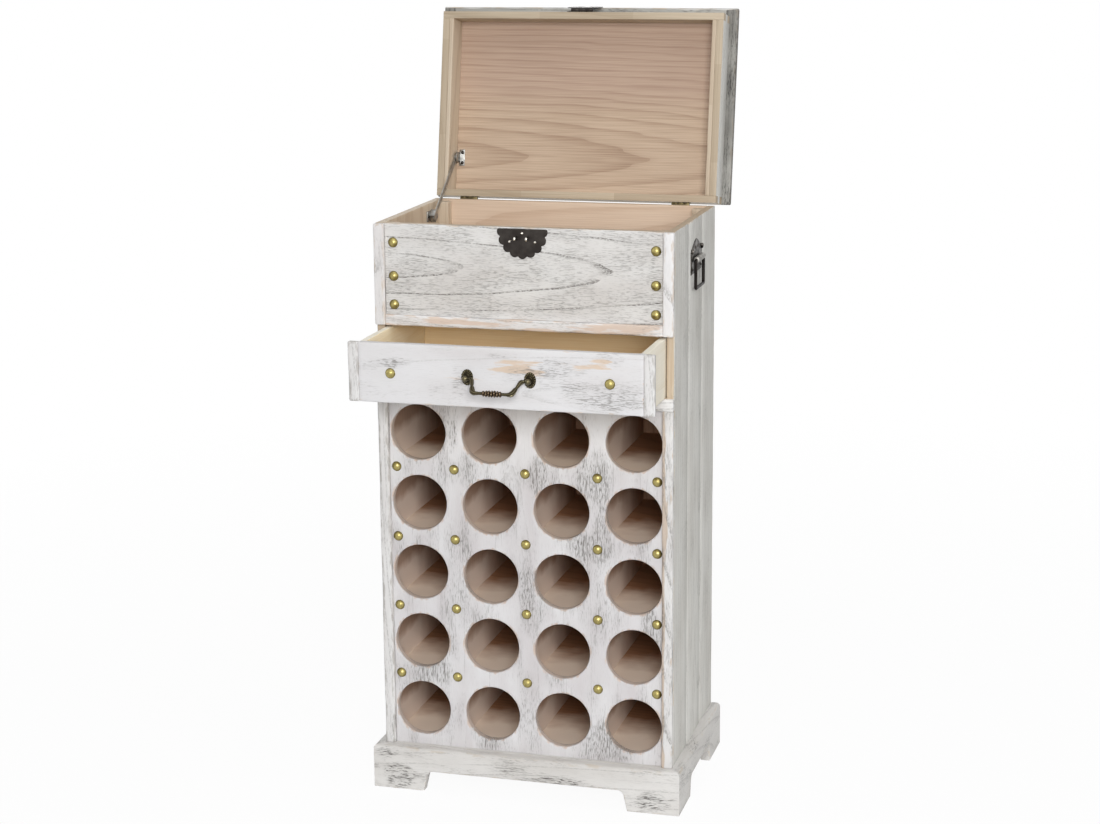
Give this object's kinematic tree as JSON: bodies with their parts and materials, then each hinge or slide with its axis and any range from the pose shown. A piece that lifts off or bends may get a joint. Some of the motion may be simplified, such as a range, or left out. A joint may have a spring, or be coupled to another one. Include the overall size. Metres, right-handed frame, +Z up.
{
  "type": "wine cabinet",
  "caption": "Upright whitewashed wine cabinet with a holed bottle rack below, a drawer above it and a chest with a hinged lid on top, on a plinth with bracket feet.",
  "frame": {"origin": "on the floor, at mid-width, in the plane of the back", "axes": "+X to the right seen from the front, +Y from front to back, +Z up"},
  "size_m": [0.48, 0.5671, 1.1672],
  "materials": {
    "whitewashed_wood": "rubbed whitewash over open grain",
    "bare_wood": "unfinished",
    "aged_brass": "aged satin",
    "dark_iron": "dark satin",
    "antique_bronze": "antique, rubbed on the high places",
    "zinc_steel": "dull zinc"
  },
  "bodies": {
    "case": {"plinth_front": "whitewashed_wood", "plinth_back": "whitewashed_wood", "plinth_left": "whitewashed_wood", "plinth_right": "whitewashed_wood", "plinth_packing_strip": "bare_wood", "plinth_corner_blocks": "bare_wood", "side_panel_left": "whitewashed_wood", "side_panel_right": "whitewashed_wood", "bottom_board": "bare_wood", "rack_front_panel": "whitewashed_wood", "rack_shelf_1": "bare_wood", "rack_shelf_2": "bare_wood", "rack_shelf_3": "bare_wood", "rack_shelf_4": "bare_wood", "rack_divider_1": "bare_wood", "rack_divider_2": "bare_wood", "rack_divider_3": "bare_wood", "rack_back_panel": "bare_wood", "drawer_floor": "bare_wood", "chest_floor": "bare_wood", "chest_front_panel": "whitewashed_wood", "chest_back_panel": "bare_wood", "chest_stile_left": "whitewashed_wood", "chest_stile_right": "whitewashed_wood", "chest_bottom_rail": "whitewashed_wood", "rack_top_rail": "whitewashed_wood", "rack_stile_left": "whitewashed_wood", "rack_stile_right": "whitewashed_wood", "chest_corner_posts": "bare_wood", "lock_plate": "dark_iron", "lock_eyes_and_nails": "dark_iron", "chest_studs": "aged_brass", "rack_studs": "aged_brass", "hinge_case_leaves": "aged_brass", "hinge_pins": "aged_brass", "handle_plates": "dark_iron", "stay_wall_bracket": "zinc_steel"},
    "lid": {"lid_top_board": "whitewashed_wood", "lid_front_rail": "whitewashed_wood", "lid_back_rail": "whitewashed_wood", "lid_side_left": "whitewashed_wood", "lid_side_right": "whitewashed_wood", "lid_liners": "bare_wood", "hinge_lid_leaves": "aged_brass", "hasp_leaf": "dark_iron", "stay_lid_bracket": "zinc_steel"},
    "hasp": {"hasp_tongue": "dark_iron"},
    "drawer": {"drawer_front": "whitewashed_wood", "drawer_end_strips": "whitewashed_wood", "drawer_side_left": "bare_wood", "drawer_side_right": "bare_wood", "drawer_back": "bare_wood", "drawer_bottom": "bare_wood", "drawer_studs": "aged_brass", "drawer_pull_rosettes": "antique_bronze"},
    "pull": {"drawer_pull_bail": "antique_bronze"},
    "handle_left": {"handle_bail_left": "dark_iron"},
    "handle_right": {"handle_bail_right": "dark_iron"},
    "strap": {"stay_strap": "zinc_steel"},
    "guide": {"stay_guide": "zinc_steel"}
  },
  "joints": [
    {"name": "lid_hinge", "type": "hinge", "parent": "case", "child": "lid", "pos_m": [0, 0.0027, 0.8731], "axis": [1, 0, 0], "range_deg": [0, 100.5]},
    {"name": "hasp_swing", "type": "hinge", "parent": "lid", "child": "hasp", "pos_m": [0, 0.06142, 1.16356], "axis": [1, 0, 0], "range_deg": [0, 170.25]},
    {"name": "drawer_slide", "type": "slide", "parent": "case", "child": "drawer", "axis": [0, -1, 0], "range_m": [-0.118, 0.08]},
    {"name": "pull_swing", "type": "hinge", "parent": "drawer", "child": "pull", "pos_m": [0, -0.423, 0.676], "axis": [-1, 0, 0], "range_deg": [0, 100]},
    {"name": "handle_left_swing", "type": "hinge", "parent": "case", "child": "handle_left", "pos_m": [-0.231, -0.1425, 0.814], "axis": [0, 1, 0], "range_deg": [0, 165]},
    {"name": "handle_right_swing", "type": "hinge", "parent": "case", "child": "handle_right", "pos_m": [0.231, -0.1425, 0.814], "axis": [0, -1, 0], "range_deg": [0, 165]},
    {"name": "stay_strap_turn", "type": "hinge", "parent": "lid", "child": "strap", "pos_m": [-0.205, 0.04718, 0.93198], "axis": [1, 0, 0], "range_deg": [-50.5, 0.25]},
    {"name": "stay_guide_turn", "type": "hinge", "parent": "case", "child": "guide", "pos_m": [-0.205, -0.06833, 0.8531], "axis": [1, 0, 0], "range_deg": [-0.25, 50.5]}
  ],
  "couplings": [
    {"joint": "stay_strap_turn", "follows": "lid_hinge", "ratio": -0.5},
    {"joint": "stay_guide_turn", "follows": "lid_hinge", "ratio": 0.5}
  ]
}
